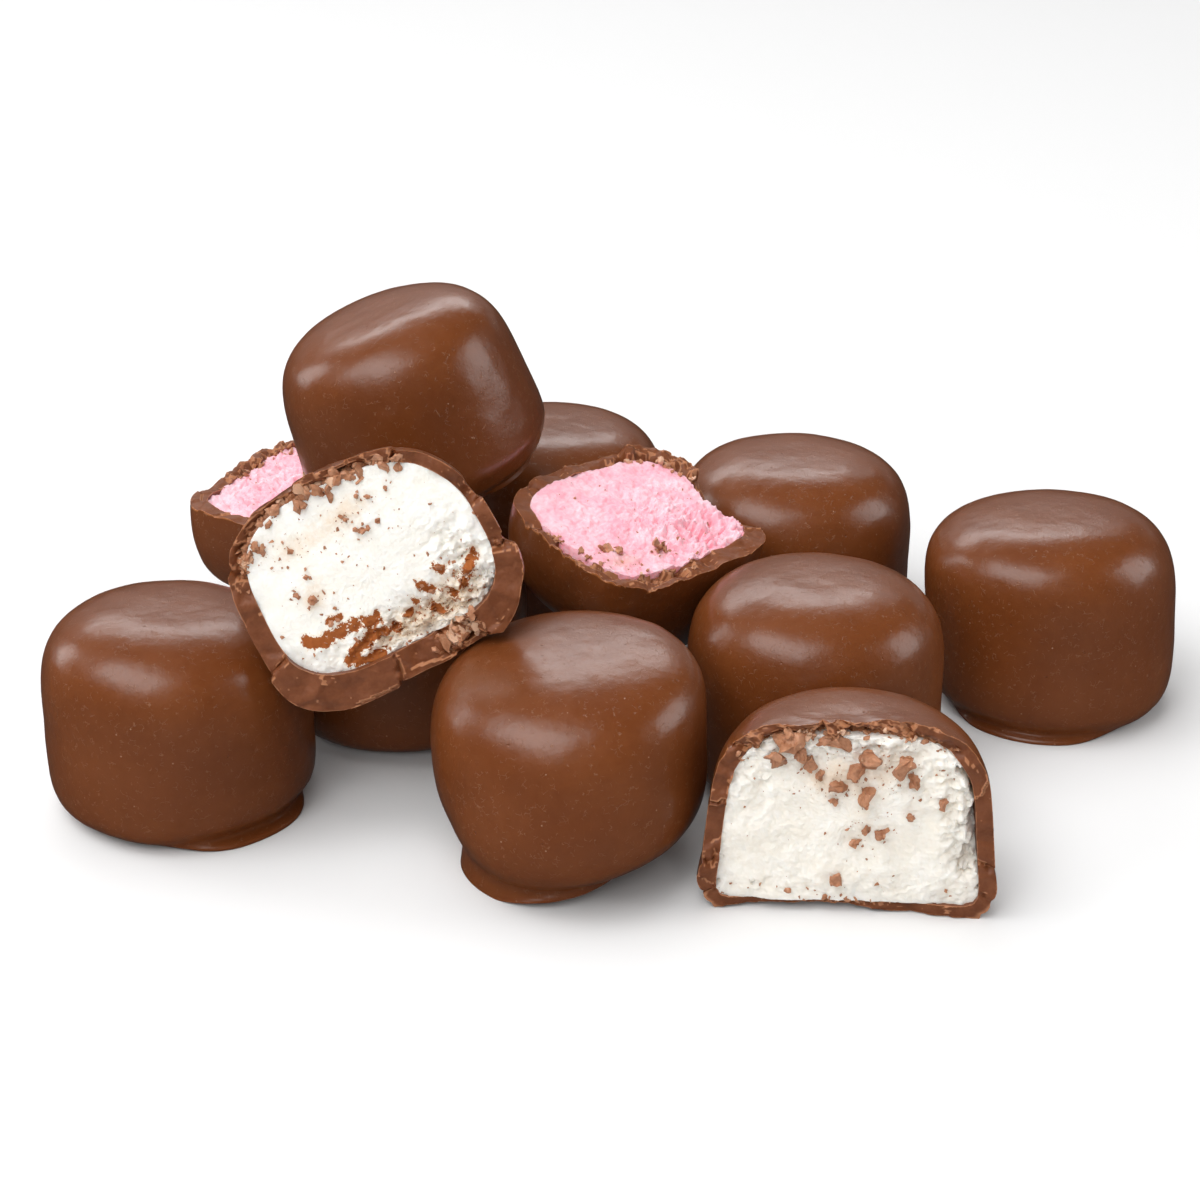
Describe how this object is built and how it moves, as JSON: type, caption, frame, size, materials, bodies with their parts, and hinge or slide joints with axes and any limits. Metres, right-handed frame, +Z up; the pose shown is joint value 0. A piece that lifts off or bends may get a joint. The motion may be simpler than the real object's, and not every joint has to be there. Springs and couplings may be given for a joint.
{
  "type": "heap of chocolate-coated marshmallows",
  "caption": "Loose heap of chocolate-coated marshmallows, some whole and some bitten or cut so that the white or pink foam inside the coat shows.",
  "frame": {"origin": "centre of the heap's bounding box on the surface that it lies on", "axes": "+Z up from the surface, +X along the heap's long side, -Y towards the shown side"},
  "size_m": [0.1328, 0.0993, 0.0493],
  "materials": {
    "milk_chocolate": "satin milk chocolate",
    "white_foam": "matt white marshmallow",
    "pink_foam": "matt pink marshmallow"
  },
  "bodies": {
    "root": {"left_front": "milk_chocolate", "centre_front": "milk_chocolate", "right_middle": "milk_chocolate", "far_right": "milk_chocolate", "right_back": "milk_chocolate", "back_centre": "milk_chocolate", "under_left": "milk_chocolate", "top": "milk_chocolate", "front_half_coat": "milk_chocolate", "front_half_foam": "white_foam", "white_bitten_coat": "milk_chocolate", "white_bitten_foam": "white_foam", "pink_half_coat": "milk_chocolate", "pink_half_foam": "pink_foam", "pink_bitten_coat": "milk_chocolate", "pink_bitten_foam": "pink_foam"}
  },
  "joints": []
}
